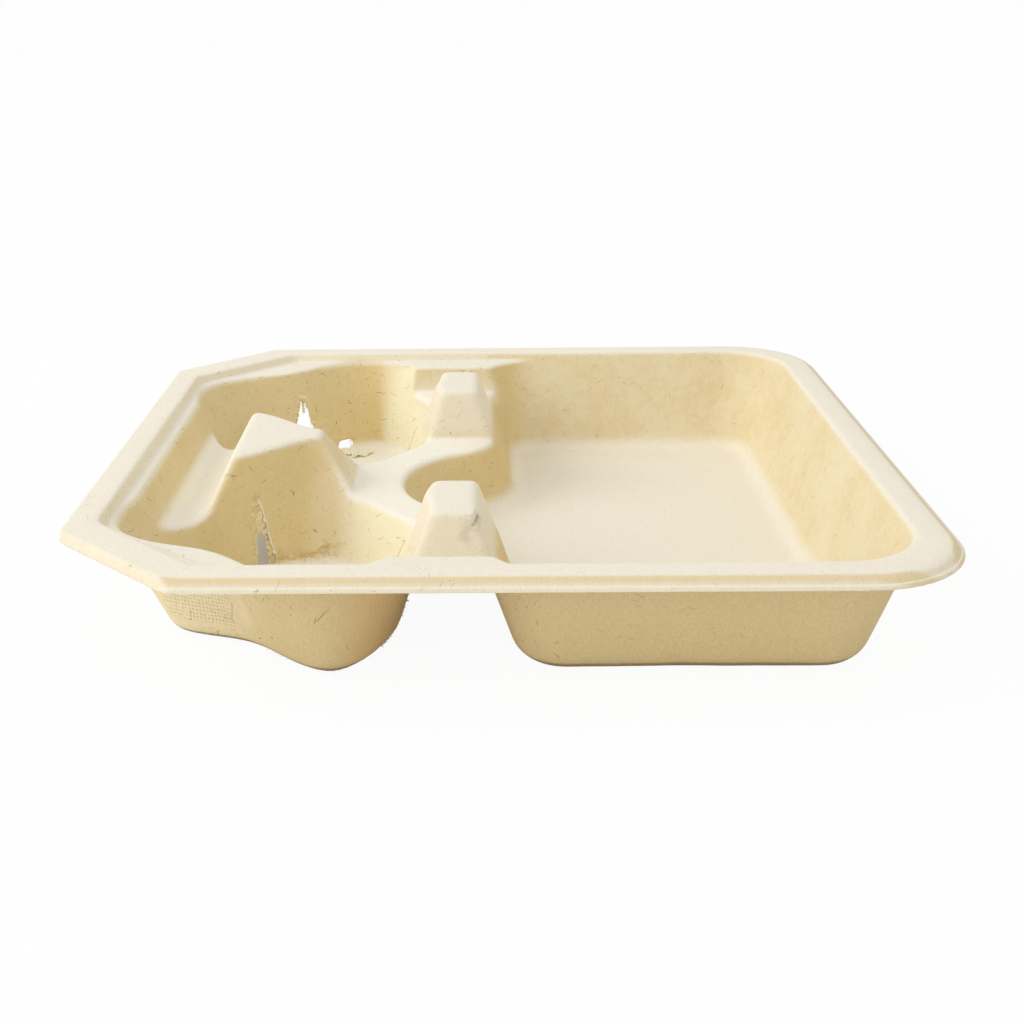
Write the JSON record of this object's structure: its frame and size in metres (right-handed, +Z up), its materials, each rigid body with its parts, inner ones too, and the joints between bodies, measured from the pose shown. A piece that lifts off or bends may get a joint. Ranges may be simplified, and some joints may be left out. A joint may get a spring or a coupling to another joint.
{
  "type": "two-cup carrier tray",
  "caption": "Shallow square tray moulded from paper pulp, with lobed cup pockets and rising posts at one end, a deep food compartment at the other, and a rolled rim with two cut corners",
  "frame": {"origin": "middle of the footprint, on the surface that the tray stands on", "axes": "X from the cup end to the food end, Y across, Z up"},
  "size_m": [0.26, 0.26, 0.0415],
  "materials": {
    "pulp": "matte unbleached moulded fibre"
  },
  "bodies": {
    "root": {"tray": "pulp"}
  },
  "joints": []
}
